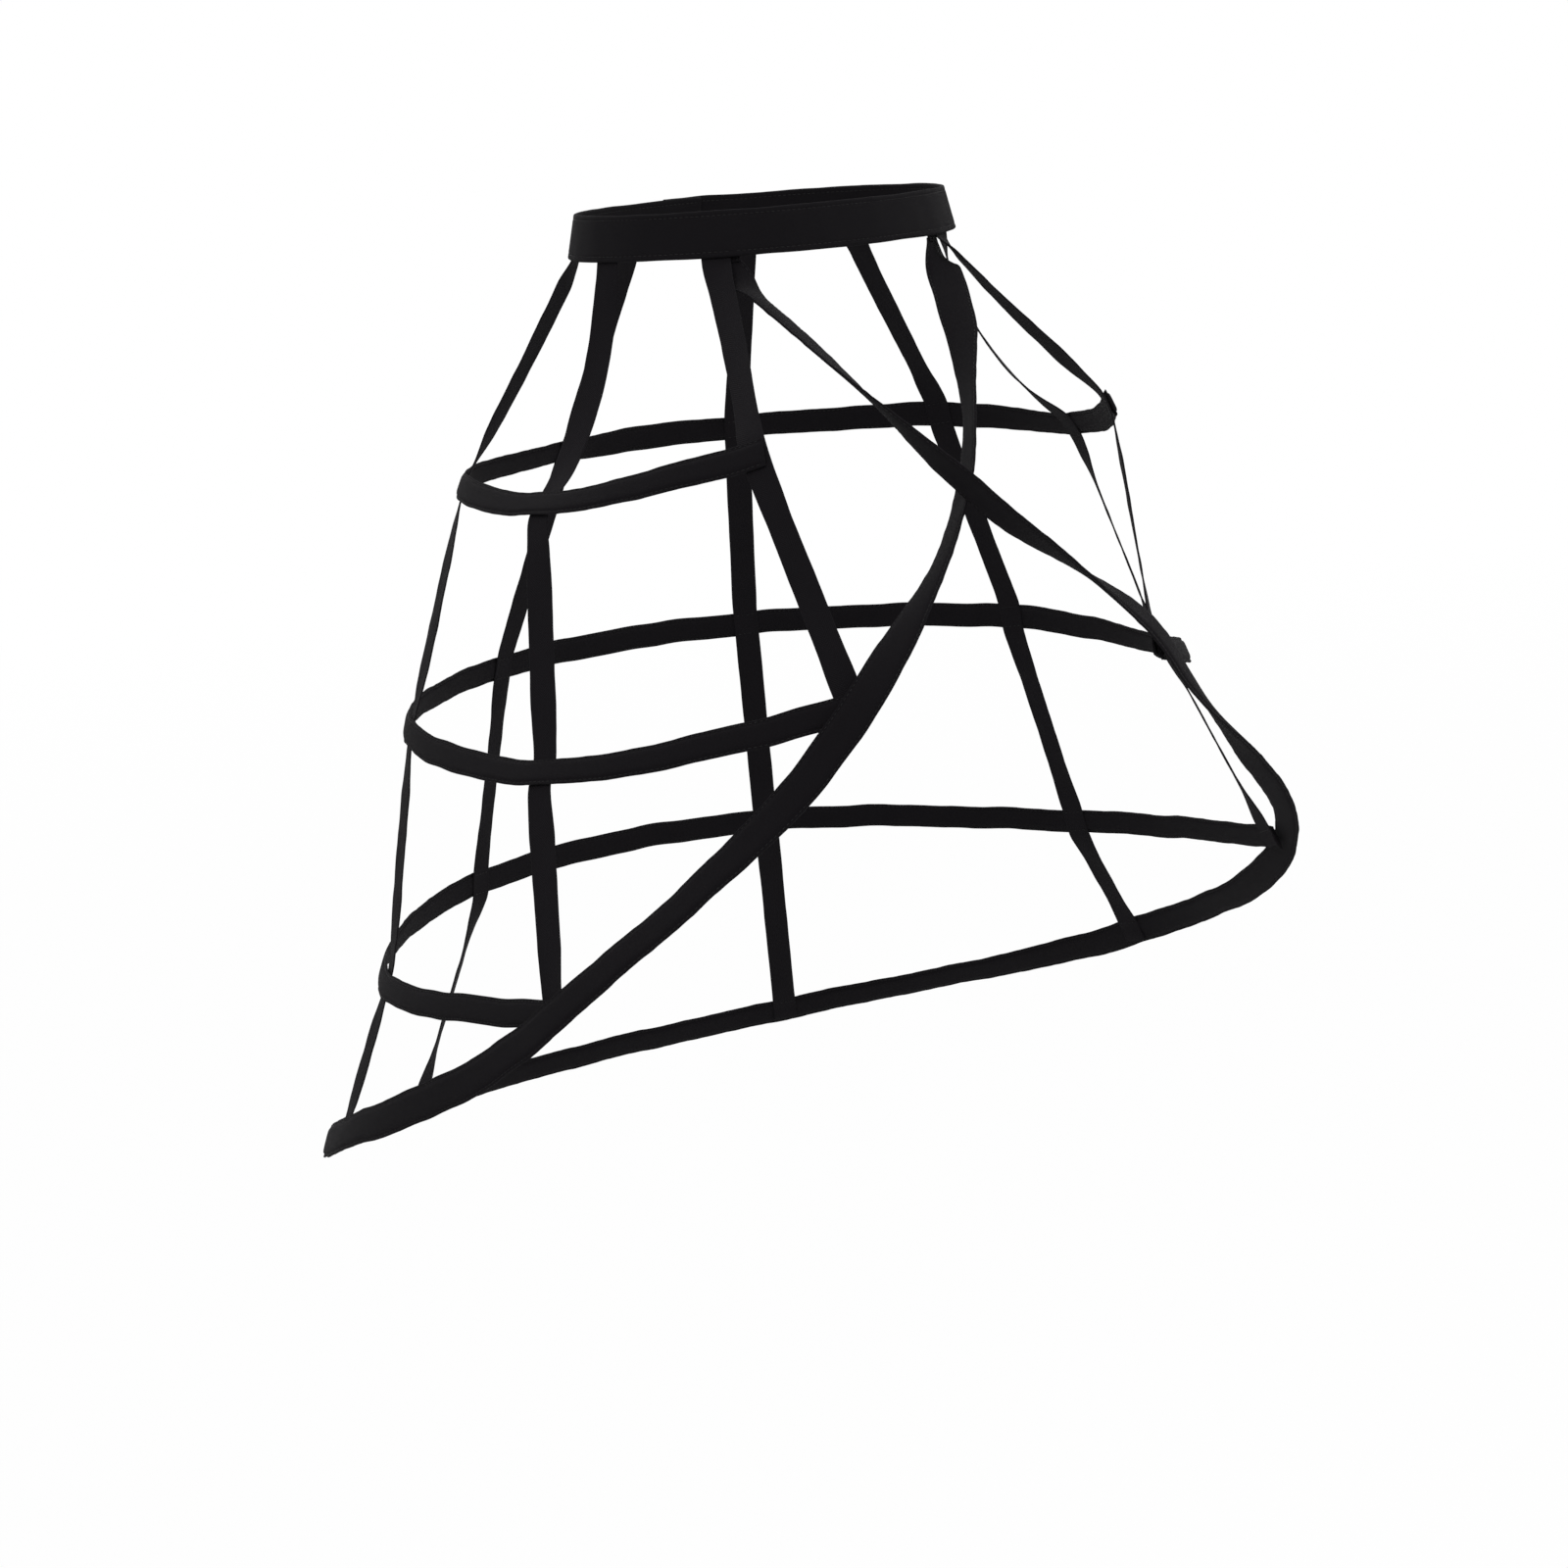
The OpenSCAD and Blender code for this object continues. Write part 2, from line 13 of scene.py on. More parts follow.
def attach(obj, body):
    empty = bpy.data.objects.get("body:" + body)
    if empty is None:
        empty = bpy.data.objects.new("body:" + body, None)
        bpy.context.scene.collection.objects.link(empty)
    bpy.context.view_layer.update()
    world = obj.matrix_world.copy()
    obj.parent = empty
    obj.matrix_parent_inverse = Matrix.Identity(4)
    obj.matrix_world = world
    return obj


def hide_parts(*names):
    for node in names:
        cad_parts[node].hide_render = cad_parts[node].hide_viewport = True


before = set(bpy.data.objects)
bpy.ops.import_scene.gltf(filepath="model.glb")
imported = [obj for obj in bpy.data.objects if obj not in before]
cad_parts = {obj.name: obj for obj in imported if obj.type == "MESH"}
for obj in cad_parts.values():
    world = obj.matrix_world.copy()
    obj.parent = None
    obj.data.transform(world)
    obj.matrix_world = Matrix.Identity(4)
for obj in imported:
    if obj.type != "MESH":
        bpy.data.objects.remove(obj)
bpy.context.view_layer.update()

MM = 0.001
UP = np.array([0.0, 0.0, 1.0])
RNG = np.random.default_rng(7)

# Waistband
WAIST_W = 244 * MM
WAIST_D = 193 * MM
BAND_H = 26.5 * MM
BAND_LEAN = 6 * MM
BAND_T = 2.4 * MM
BAND_SEAM = 3 * MM
BAND_RIM = np.array([4.2, 3.5, 3, 2.5, 1.6, 0.7, 0.25, 0.05, 0]) * MM
BAND_MIDDLE = np.linspace(-0.55, 0.55, 5)
BAND_FOLD = 1.2 * MM
BAND_FOLD_POWER = 2.4
BAND_GROOVE = 0.35 * MM
BAND_GROOVE_W = 0.45 * MM
BAND_STITCH_SINK = 0.25 * MM
BAND_STITCH_END = 2 * MM
LAP_L = 26 * MM

# The lap begins to rise this many laps before the band's own seam, over this many laps
LAP_BEGIN = 3
LAP_RISE = 2

# Straps, from the front round to the back
FRONT, SIDE_FRONT, SIDE, BACK = range(4)
STRAP_NAMES = ["front", "side_front", "side", "back"]
STRAP_ANGLES = [47, 84, 119, 159]
TAIL_ANGLES = [47, 81.5, 119, 155]
STRAP_SWINGS = [7.5, 5.1, 3.3, 1.1]
SWING_DROP = 100 * MM
STRAP_SLACKS = [2 * MM, 15 * MM, 1 * MM, 0]
STRAP_W = 16.5 * MM
TAIL_L = 16 * MM
END_SHARE = 0.62
END_SEAM = 1.2 * MM
TOP_SEAM = 3 * MM
SEAM_SIDE = 1.5 * MM
STITCH_PROUD = 0.03 * MM

# Tapes that the straps are cut from: places across as shares of the half width, and corded edges
TAPE_T = 0.8 * MM
TAPE_ACROSS = np.array([-1, -0.985, -0.93, -0.85, -0.6, -0.3, 0, 0.3, 0.6, 0.85, 0.93, 0.985, 1])
TAPE_ROUND = 0.1
TAPE_CORD = 0.12 * MM
TAPE_CORD_AT = 0.93
TAPE_CORD_W = 0.05
TURN_UNDER = 7 * MM
UNDER_SHARE = 0.9
UNDER_STEP = 0.6 * MM

# Turn of each strap's face between its seams, from the waistband down
STRAP_TURNS = {
    "left": [(-20, -8), (22, 20, 20), (20, 7, 12, 12), (-8, 14, 16, 16)],
    "right": [(-19, -12), (16, 13, 10), (-20, 12, 9, 9), (-6, -5, 8, 27)],
}
TURN_SHARE = 0.25
TOP_TURN_SHARE = 0.12

# Hoops: first strap that each one meets, drop, rise of its front ends, reach at each strap
HOOPS = {
    "top": (FRONT, 153 * MM, 28 * MM, np.array([209, 193, 191, 166]) * MM),
    "middle": (FRONT, 295 * MM, 36 * MM, np.array([250, 239, 238, 230]) * MM),
    "lower": (SIDE_FRONT, 442 * MM, 26 * MM, np.array([293, 270, 260]) * MM),
}
HOOP_W = 16 * MM
HOOP_T = 3.4 * MM
HOOP_TAB = 6.5 * MM
HOOP_END = 4 * MM

# Twist of each hoop's face at its straps and at the rear, from its right end round to its left end
HOOP_TWISTS = {
    "top": [0, 23, 0, 8, -18, -4, -20, 8, 0],
    "middle": [0, 27, 0, -2, -24, -12, -18, 10, 0],
    "lower": [0, 4, -16, -24, -15, -12, 0],
}

# Bones
BONE_T = 1.2 * MM
BONE_PLAY = 0.3 * MM
BONE_EDGE = 0.95
TIP_L = 5 * MM

# Hem
HEM_SIDE_R = 309 * MM
HEM_SIDE_DROP = 528 * MM
HEM_BACK_R = 325 * MM
HEM_BACK_DROP = 602 * MM
HEM_REAR_R = 313 * MM
HEM_REAR_DROP = 607 * MM
HEM_W = 20.5 * MM
HEM_T = 3.8 * MM
HEM_END = 3 * MM
HEM_LIFT = 6.1 * MM
HEM_BELOW = {"middle": 6 * MM, "lower": 10 * MM}
HEM_BEHIND = {"middle": 1 * MM, "lower": 4 * MM}
HEM_PRESS = 0.8
HEM_TWISTS = np.array([0, 10, 5, -44, -16, -7, 0, 0, 7, 16, -17, -5, -30, 0])
CROSS_R = 200 * MM
CROSS_DROP = 162 * MM
CROSS_GAP = 10.5 * MM
CROSS_ANGLE = 45
CROSS_FACE = (14, 22)
EDGE_FACE = (-48, 48)
TURN_L = 30 * MM
TURN_BULGE = 6 * MM
HEM_TAIL_DEPTH = 3.9 * MM
HEM_TAIL_BELOW = 4.8 * MM

# Sewing
MARGIN = 2.2 * MM
MARGIN_T = 1.5 * MM
SEAM_IN = 0.8 * MM
SEAM_GAP = 0.1 * MM
STITCH = 2.5 * MM
STITCH_GAP = 0.6 * MM
STITCH_LEAD = 0.1
STITCH_SINK = 0.2 * MM
STITCH_SHOULDERS = (0.2, 0.8)
THREAD_R = 0.17 * MM
THREAD_RISE = 0.5
THREAD_TWIST = 0.3 * MM
PUCKER_LEAST = 0.6

# Casings: places beside the channel, the seam and the edge, and how the cloth swells and dips
CHANNEL_PLACES = 9
BESIDE_CHANNEL = 0.35 * MM
BESIDE_SEAM = 0.45 * MM
EDGE_ROUND = np.array([0.35, 0.08, 0]) * MM
CHANNEL_POWER = 6
EDGE_POWER = 5
CASING_GROOVE = 0.3 * MM
CASING_GROOVE_W = 0.3 * MM
CASING_LEAST = 0.02 * MM
EMPTY_SHARE = 0.25
SHUT_SHARE = 0.35
SLACK_H = 0.5 * MM
SLACK_L = 30 * MM
SLACK_BOW = 2

# Waves in the cloth: about how long each is, and how high or by what share of the width
CASING_SWAY = (85 * MM, 0.7 * MM)
CASING_RIPPLES = ((16 * MM, 0.22 * MM), (19 * MM, 0.22 * MM))
CASING_SPREAD = (60 * MM, 0.012)
TAPE_CUP = (90 * MM, 0.25 * MM)
TAPE_RIPPLE = (34 * MM, 0.2 * MM)
TAPE_SPREAD = (70 * MM, 0.018)
BAND_BOW = (48 * MM, 0.3 * MM)
BAND_RIPPLE = (21 * MM, 0.16 * MM)
BAND_SPREAD = (80 * MM, 0.25 * MM)
WAVE_SHARES = (1.0, 0.61, 0.37)

# Fineness of the meshes
STEP = 2.2 * MM
LEAST_STEPS = 8
KEY_STEPS = 40
STRAP_STEPS = 24
STRAP_SOFT = 2
BAND_STEPS = 420


# Curves

def unit(v):
    """Vectors of length 1, for one vector or for rows of them."""
    return v / np.linalg.norm(v, axis=-1, keepdims=True)


def ease(t):
    """A smooth step from 0 to 1."""
    t = np.clip(t, 0, 1)
    return t * t * (3 - 2 * t)


def arch(t):
    """0 at both ends and 1 in the middle."""
    return 4 * t * (1 - t)


def flip(p):
    """The same places on the other side of the body."""
    return np.asarray(p) * np.array([-1, 1, 1])


def spun(v, axis, angle):
    """Directions turned about an axis that they are square to, by one angle or by one for each row."""
    a = np.radians(np.asarray(angle, float))[..., None]
    return v * np.cos(a) + np.cross(axis, v) * np.sin(a)


def at(angle, r, z):
    """A place at an angle from the front, a reach from the centre line and a height."""
    a = math.radians(angle)
    return np.array([r * math.sin(a), -r * math.cos(a), z])


def key_paces(keys):
    """Direction of a smooth curve at each of its keys."""
    chords = np.diff(keys, axis=0)
    lengths = np.linalg.norm(chords, axis=1)
    ways = chords / lengths[:, None]
    paces = np.zeros_like(keys)
    before, after = lengths[:-1, None], lengths[1:, None]
    paces[1:-1] = (ways[:-1] * after + ways[1:] * before) / (before + after)
    paces[0] = (3 * ways[0] - paces[1]) / 2
    paces[-1] = (3 * ways[-1] - paces[-2]) / 2
    return paces


def spline(keys, paces):
    """Smooth curve through keys, with KEY_STEPS places from each key to the next."""
    t = np.linspace(0, 1, KEY_STEPS, endpoint=False)[:, None]
    parts = []
    for i in range(len(keys) - 1):
        start, end = keys[i], keys[i + 1]
        bend = t * (1 - t) * (paces[i] * (1 - t) - paces[i + 1] * t)
        parts.append(start + (end - start) * ease(t) + np.linalg.norm(end - start) * bend)
    return np.vstack(parts + [keys[-1:]])


def eased_between(values):
    """Values at the keys of a smooth curve, eased from each key to the next."""
    values = np.asarray(values, float)
    steps = np.arange((len(values) - 1) * KEY_STEPS + 1) / KEY_STEPS
    i = np.minimum(steps.astype(int), len(values) - 2)
    turn = ease(steps - i)
    return values[i] * (1 - turn) + values[i + 1] * turn


def heading(path):
    """Direction along a path at each of its places."""
    ahead = np.vstack([path[1:], path[-1:]])
    behind = np.vstack([path[:1], path[:-1]])
    return unit(ahead - behind)


def lengths_along(path):
    """Length of a path up to each of its places."""
    return np.concatenate([[0], np.cumsum(np.linalg.norm(np.diff(path, axis=0), axis=1))])


def softened(rows, spread):
    """Rows averaged with their neighbours, with both ends kept, as cloth rounds off a bend."""
    reach = 3 * spread
    weights = np.exp(-0.5 * (np.arange(-reach, reach + 1) / spread) ** 2)
    weights /= weights.sum()
    ends = (2 * rows[:1] - rows[reach:0:-1], 2 * rows[-1:] - rows[-2:-reach - 2:-1])
    padded = np.vstack([ends[0], rows, ends[1]])
    return np.column_stack([np.convolve(c, weights, mode="valid") for c in padded.T])


def wander(run, length, size):
    """A smooth irregular wave along a run, of about that wavelength and height."""
    wave = np.zeros_like(run)
    for share in WAVE_SHARES:
        wave += share * np.sin(2 * math.pi * run / (length * share) + RNG.uniform(0, 2 * math.pi))
    return size * wave / sum(WAVE_SHARES)


def pucker(run):
    """How hard the stitches pull the cloth in, along a run: PUCKER_LEAST between them and 1 in each."""
    wave = 0.5 + 0.5 * np.sin(2 * math.pi * run / (STITCH + STITCH_GAP))
    return (PUCKER_LEAST + (1 - PUCKER_LEAST) * wave)[:, None]


class Strip:
    """A ribbon's centre line, with the ways along it, across it and out of its face."""

    def __init__(self, path, outs, soft=0):
        run = lengths_along(path)
        count = max(LEAST_STEPS, int(run[-1] / STEP))
        even = np.linspace(0, run[-1], count + 1)
        path = np.column_stack([np.interp(even, run, c) for c in np.asarray(path).T])
        outs = np.column_stack([np.interp(even, run, c) for c in np.asarray(outs).T])
        if soft:
            path, outs = softened(path, soft), softened(outs, soft)
        self.place = path
        self.run = lengths_along(path)
        self.along = heading(path)
        self.wide = unit(np.cross(self.along, outs))
        self.out = np.cross(self.wide, self.along)

    def spot(self, s, across, lift):
        """Places on the strip at lengths s, that far across it and out of it."""
        def row(rows):
            return np.column_stack([np.interp(s, self.run, c) for c in rows.T])
        return row(self.place) + row(self.wide) * across + row(self.out) * np.reshape(lift, (-1, 1))

    def stretch(self, start, end):
        """The part of the strip between two lengths along it."""
        run = np.linspace(start, end, int((end - start) / STEP))
        outs = np.column_stack([np.interp(run, self.run, c) for c in self.out.T])
        return Strip(self.spot(run, 0, np.zeros_like(run)), outs)


# The cage's lines

def strap_angle(s, drop):
    """Angle of the strap s from the front, that far below the waistband's upper edge."""
    return STRAP_ANGLES[s] - STRAP_SWINGS[s] * drop / SWING_DROP


def lean(r0, drop0, r1, drop1):
    """Lean of the cage between two levels, from the vertical."""
    return math.atan2(r1 - r0, drop1 - drop0)


def hoop_leans():
    """Tilt of each hoop's face, and of the hem's, from the cage's lean above and below it."""
    side = {n: (h[3][SIDE - h[0]], h[1]) for n, h in HOOPS.items()}
    levels = [(WAIST_W / 2, BAND_H), side["top"], side["middle"], side["lower"]]
    levels.append((HEM_SIDE_R, HEM_SIDE_DROP))
    leans = [lean(*levels[i], *levels[i + 1]) for i in range(len(levels) - 1)]
    tilts = {n: (leans[i] + leans[i + 1]) / 2 for i, n in enumerate(HOOPS)}
    return tilts, leans[-1]


TILTS, HEM_LEAN = hoop_leans()


def faced(flat, tilt):
    """Directions out of a face, from level ones and a tilt."""
    return math.cos(tilt) * unit(flat) + math.sin(tilt) * UP


def hoop_out(name, along):
    """Directions out of a hoop's face, before any twist, from those along it."""
    along = np.asarray(along)
    level = np.stack([-along[..., 1], along[..., 0], 0 * along[..., 0]], axis=-1)
    return faced(level, TILTS[name])


def hoop_keys(name):
    """Keys of a hoop from its right front end round the back to its left front end."""
    first, drop, rise, reaches = HOOPS[name]
    left = [at(strap_angle(first + i, drop), r, -drop) for i, r in enumerate(reaches)]
    left[0] = left[0] + rise * UP
    return np.array([flip(p) for p in left] + [at(180, reaches[-1], -drop)] + left[::-1])


def station(name, s, side="left"):
    """Place, heading and face of a hoop where the strap s crosses it, brought to the left side."""
    keys = hoop_keys(name)
    step = s - HOOPS[name][0]
    i = len(keys) - 1 - step
    along = unit(key_paces(keys)[i])
    wide = unit(np.cross(along, hoop_out(name, along)))
    twist = HOOP_TWISTS[name][i if side == "left" else step]
    return keys[i], along, spun(np.cross(wide, along), along, twist)


def hem_on_hoop(name):
    """Place and face of the hem casing on the left end of a hoop."""
    p, along, out = station(name, HOOPS[name][0])
    below = np.cross(out, along) * HEM_BELOW[name]
    return p - along * HEM_BEHIND[name] + below + out * HEM_LIFT, out


def hoop_strip(name):
    """Strip of a whole hoop, with a tab past the front strap at each end."""
    keys = hoop_keys(name)
    path = spline(keys, key_paces(keys))
    ways = heading(path)
    path = np.vstack([path[0] - ways[0] * HOOP_TAB, path, path[-1] + ways[-1] * HOOP_TAB])
    ways = heading(path)
    twists = np.pad(eased_between(HOOP_TWISTS[name]), 1)
    return Strip(path, spun(hoop_out(name, ways), ways, twists))


def band_face(angle, drop):
    """Place and direction out of the waistband's inner face."""
    a = WAIST_W / 2 - BAND_T - BAND_LEAN * (1 - drop / BAND_H)
    b = a * WAIST_D / WAIST_W
    t = math.radians(angle)
    p = at(angle, a * b / math.hypot(b * math.sin(t), a * math.cos(t)), -drop)
    side = unit(np.array([p[0] / a ** 2, p[1] / b ** 2, 0]))
    return p, unit(side + UP * BAND_LEAN / BAND_H)


def tail(angle, depth, below):
    """Two places of a strap's tail behind the waistband, with the directions out of its face."""
    faces = [band_face(angle, drop) for drop in (BAND_H - TAIL_L, BAND_H + below)]
    return [(p - out * depth, out) for p, out in faces]


def hem_out(p):
    """Direction out of the hem's face at a place on it."""
    return faced(np.array([p[0], p[1], 0]), HEM_LEAN)


HEM_SIDE = at(strap_angle(SIDE, HEM_SIDE_DROP), HEM_SIDE_R, -HEM_SIDE_DROP)
HEM_BACK = at(strap_angle(BACK, HEM_BACK_DROP), HEM_BACK_R, -HEM_BACK_DROP)
HEM_REAR = at(180, HEM_REAR_R, -HEM_REAR_DROP)
HEM_KEY = {SIDE: 5, BACK: 6}
HEM_PRESSED = (3, 4, 10, 11)
CROSS_KEY = 2
HEM_BONE_KEYS = (3, 11)


def edgewise(swing, tilt):
    """Direction out of a crossing strap's face, swung to the back and tilted up."""
    return faced(at(90 + swing, 1, 0), math.radians(tilt))


def hem_line():
    """The hem casing's path and faces: from the right of the waistband over the crossing, round the
    hem and back over the crossing to the left of the waistband. The first strap crosses in front."""
    ends = [hem_on_hoop("middle"), hem_on_hoop("lower")]
    tops = tail(CROSS_ANGLE, HEM_TAIL_DEPTH, HEM_TAIL_BELOW)
    left = [p for p, out in ends] + [HEM_SIDE, HEM_BACK]
    left_outs = [out for p, out in ends] + [hem_out(HEM_SIDE), hem_out(HEM_BACK)]
    before = np.array([0, -CROSS_GAP - CROSS_R, -CROSS_DROP])
    behind = np.array([0, CROSS_GAP - CROSS_R, -CROSS_DROP])
    first, last = flip(tops[1][0]), tops[1][0]
    begun = first + unit(before - first) * TURN_L + flip(tops[1][1]) * TURN_BULGE
    ended = last + unit(behind - last) * TURN_L + tops[1][1] * TURN_BULGE
    keys = [first, begun, before, *left, HEM_REAR, *map(flip, left[::-1]), behind, ended, last]
    right_outs = [flip(tops[1][1]), edgewise(*EDGE_FACE), edgewise(*CROSS_FACE), *left_outs]
    outs = [*right_outs, hem_out(HEM_REAR)]
    outs += [*map(flip, left_outs[::-1]), *map(flip, right_outs[CROSS_KEY::-1])]
    keys, outs = np.array(keys), np.array(outs)
    paces = key_paces(keys)
    for i in HEM_PRESSED:
        paces[i] -= outs[i] * (paces[i] @ outs[i]) * HEM_PRESS
    path = spline(keys, paces)
    steps = np.arange(len(path)) / KEY_STEPS
    k = np.minimum(steps.astype(int), len(keys) - 2)
    t = steps - k
    turn = ease(t)[:, None]
    faces = outs[k] * (1 - turn) + outs[k + 1] * turn
    ways = heading(path)
    faces = unit(faces - ways * (faces * ways).sum(axis=1, keepdims=True))
    faces = spun(faces, ways, HEM_TWISTS[k] * np.sin(math.pi * t) ** 2)
    full = ease(np.minimum(steps - CROSS_KEY, len(keys) - 1 - CROSS_KEY - steps))
    path = np.vstack([flip(tops[0][0]), path, tops[0][0]])
    faces = np.vstack([flip(tops[0][1]), faces, tops[0][1]])
    return path, faces, np.concatenate([[0], full, [0]])


HEM_PATH, HEM_FACES, HEM_FULL = hem_line()


def stops(s, side):
    """Where the strap s is sewn, from the top down: place, face, and half thickness and width.
    Those of the right strap are brought to the left side."""
    found = []
    for name, hoop in HOOPS.items():
        if hoop[0] <= s and not (s == FRONT and name == "lower"):
            p, _, out = station(name, s, side)
            found.append((p, out, HOOP_T / 2, HOOP_W / 2))
    if s in HEM_KEY:
        i = HEM_KEY[s] * KEY_STEPS + 1
        along = heading(HEM_PATH)[i]
        wide = unit(np.cross(along, HEM_FACES[i]))
        found.append((HEM_PATH[i], np.cross(wide, along), HEM_T / 2, HEM_W / 2))
    return found


def strap_strip(s, side):
    """Strip of a strap on the inner side of every casing, and its seams, brought to the left side."""
    points = tail(TAIL_ANGLES[s], SEAM_GAP + TAPE_T, TAPE_T)
    sewn = stops(s, side)
    places = [stop[0] for stop in sewn]
    seams = []
    for i, (p, out, half_t, half_w) in enumerate(sewn):
        before = points[1][0] if i == 0 else places[i - 1]
        after = places[min(i + 1, len(places) - 1)]
        way = after - before
        way = unit(way - out * (way @ out))
        middle = p - out * (half_t + SEAM_GAP + TAPE_T / 2)
        below = half_w * (1 if i < len(places) - 1 else END_SHARE)
        first = middle - way * half_w
        last = middle + way * below
        a, out_a = points[-1]
        slack = STRAP_SLACKS[s] if i == 0 else 0
        turn = STRAP_TURNS[side][s][i]
        begin = TOP_TURN_SHARE if i == 0 else TURN_SHARE
        for t in np.linspace(0, 1, STRAP_STEPS)[1:-1]:
            share = ease(min(t / begin, (1 - t) / TURN_SHARE))
            face = spun(unit(out_a * (1 - t) + out * t), unit(first - a), turn * share)
            points.append((a + (first - a) * t - face * slack * arch(t), face))
        points += [(first, out), (last, out)]
        reach = half_w - MARGIN + SEAM_IN
        seams += [middle - way * reach, middle + way * min(reach, below - END_SEAM)]
    strip = Strip([p for p, out in points], [out for p, out in points], soft=STRAP_SOFT)
    return strip, seams


# Meshes

def mesh_piece(name, places, faces, uvs, material):
    """A smooth mesh piece from places, faces and one map place for each face corner."""
    mesh = bpy.data.meshes.new(name)
    mesh.from_pydata(places, [], faces)
    layer = mesh.uv_layers.new(name="strip")
    layer.uv.foreach_set("vector", np.asarray(uvs, np.float32).ravel())
    mesh.polygons.foreach_set("use_smooth", np.ones(len(mesh.polygons), bool))
    mesh.materials.append(material)
    mesh.update()
    piece = bpy.data.objects.new(name, mesh)
    bpy.context.scene.collection.objects.link(piece)
    return piece


def swept(name, strip, lifts, acrosses, material):
    """A closed piece along a strip. Rows of lifts and acrosses give its section at every step."""
    steps, sides = lifts.shape
    places = (strip.place[:, None] + strip.out[:, None] * lifts[:, :, None]
              + strip.wide[:, None] * acrosses[:, :, None]).reshape(-1, 3)
    i, j = np.meshgrid(np.arange(steps - 1), np.arange(sides), indexing="ij")
    k = (j + 1) % sides
    corners = np.stack([i * sides + j, (i + 1) * sides + j, (i + 1) * sides + k, i * sides + k], -1)
    faces = corners.reshape(-1, 4).tolist()
    girth = np.concatenate([[0], np.cumsum(np.hypot(np.diff(lifts[0], append=lifts[0, :1]),
                                                    np.diff(acrosses[0], append=acrosses[0, :1])))])
    u = np.stack([strip.run[i], strip.run[i + 1], strip.run[i + 1], strip.run[i]], -1)
    v = np.stack([girth[j], girth[j], girth[j + 1], girth[j + 1]], -1)
    uvs = np.stack([u, v], -1).reshape(-1, 2).tolist()
    for first, order in ((0, range(sides)), ((steps - 1) * sides, range(sides - 1, -1, -1))):
        faces.append([first + n for n in order])
        uvs += [(float(strip.run[first // sides]), float(girth[n])) for n in order]
    return mesh_piece(name, places.tolist(), faces, uvs, material)


def loop_round(top, bottom):
    """A section's closed loop from its upper row and its lower row, which share their ends."""
    return np.hstack([top, bottom[:, -2:0:-1]])


def casing_rows(strip, width, thick, full):
    """Section rows of a casing: two cloths sewn into a channel, with flat margins and turned edges.
    full is 1 along the strip where the bone fills the channel and 0 where it is empty."""
    half = width / 2
    channel = half - MARGIN
    seam = channel + SEAM_IN
    inside = channel * np.sin(np.linspace(-1, 1, CHANNEL_PLACES) * math.pi / 2)
    margin = np.array([channel + BESIDE_CHANNEL, seam, seam + BESIDE_SEAM, *(half - EDGE_ROUND)])
    across = np.concatenate([-margin[::-1], inside, margin])
    reach = np.abs(across)
    bulge = np.sqrt(np.clip(1 - (reach / channel) ** CHANNEL_POWER, 0, 1))
    past_seam = np.clip((reach - seam) / (half - seam), 0, 1)
    flat = MARGIN_T / 2 * np.sqrt(np.clip(1 - past_seam ** EDGE_POWER, 0, 1))
    groove = np.exp(-((reach - seam) / CASING_GROOVE_W) ** 2)
    rise = (thick - MARGIN_T) / 2
    filled = EMPTY_SHARE + (1 - EMPTY_SHARE) * full[:, None]
    height = flat + bulge * rise * filled - CASING_GROOVE * groove * pucker(strip.run)
    height = np.maximum(height, CASING_LEAST)
    height[:, [0, -1]] = 0
    edge = np.clip((reach - channel) / MARGIN, 0, 1)
    left_ripple, right_ripple = (wander(strip.run, *wave)[:, None] for wave in CASING_RIPPLES)
    ripple = edge * (left_ripple * (across > 0) + right_ripple * (across < 0))
    bow = SLACK_H * np.cos(across / half * SLACK_BOW)
    slack = (1 - full[:, None]) * bow * np.sin(strip.run / SLACK_L)[:, None]
    spread = across * (1 + wander(strip.run, *CASING_SPREAD)[:, None] * np.sign(across) * edge)
    wave = ripple + slack
    return loop_round(height + wave, wave - height), loop_round(spread, spread)


def closed_ends(lifts, length, strip):
    """Thins a section towards both ends, where the casing is turned in and sewn shut."""
    near = np.minimum(strip.run, strip.run[-1] - strip.run)
    return lifts * (SHUT_SHARE + (1 - SHUT_SHARE) * ease(near / length))[:, None]


def tape_rows(strip):
    """Section rows of a woven tape with corded edges; its last stretch is turned under."""
    half = STRAP_W / 2
    across = half * TAPE_ACROSS
    reach = np.abs(across) / half
    cord = TAPE_CORD * np.exp(-((reach - TAPE_CORD_AT) / TAPE_CORD_W) ** 2)
    near_edge = np.clip((reach - (1 - TAPE_ROUND)) / TAPE_ROUND, 0, 1)
    height = TAPE_T / 2 * np.sqrt(np.clip(1 - near_edge ** 2, 0, 1)) + cord
    height[[0, -1]] = 0
    cup = wander(strip.run, *TAPE_CUP)[:, None] * (1 - 2 * reach ** 2)
    ripple = wander(strip.run, *TAPE_RIPPLE)[:, None] * across / half
    spread = across * (1 + wander(strip.run, *TAPE_SPREAD)[:, None])
    wave = cup + ripple
    turned = ease((strip.run - strip.run[-1] + TURN_UNDER) / UNDER_STEP)[:, None]
    under = TAPE_T * UNDER_SHARE * turned * (height > 0)
    return loop_round(height + wave, wave - height - under), loop_round(spread, spread)


def bone_rows(strip, width):
    """Section rows of a flat bone with eased edges, in a casing of that width."""
    half = width / 2 - MARGIN - 2 * BONE_PLAY
    across = np.tile(half * np.array([-1, -BONE_EDGE, BONE_EDGE, 1]), (len(strip.run), 1))
    height = np.tile(BONE_T / 2 * np.array([0, 1, 1, 0]), (len(strip.run), 1))
    return loop_round(height, -height), loop_round(across, across)


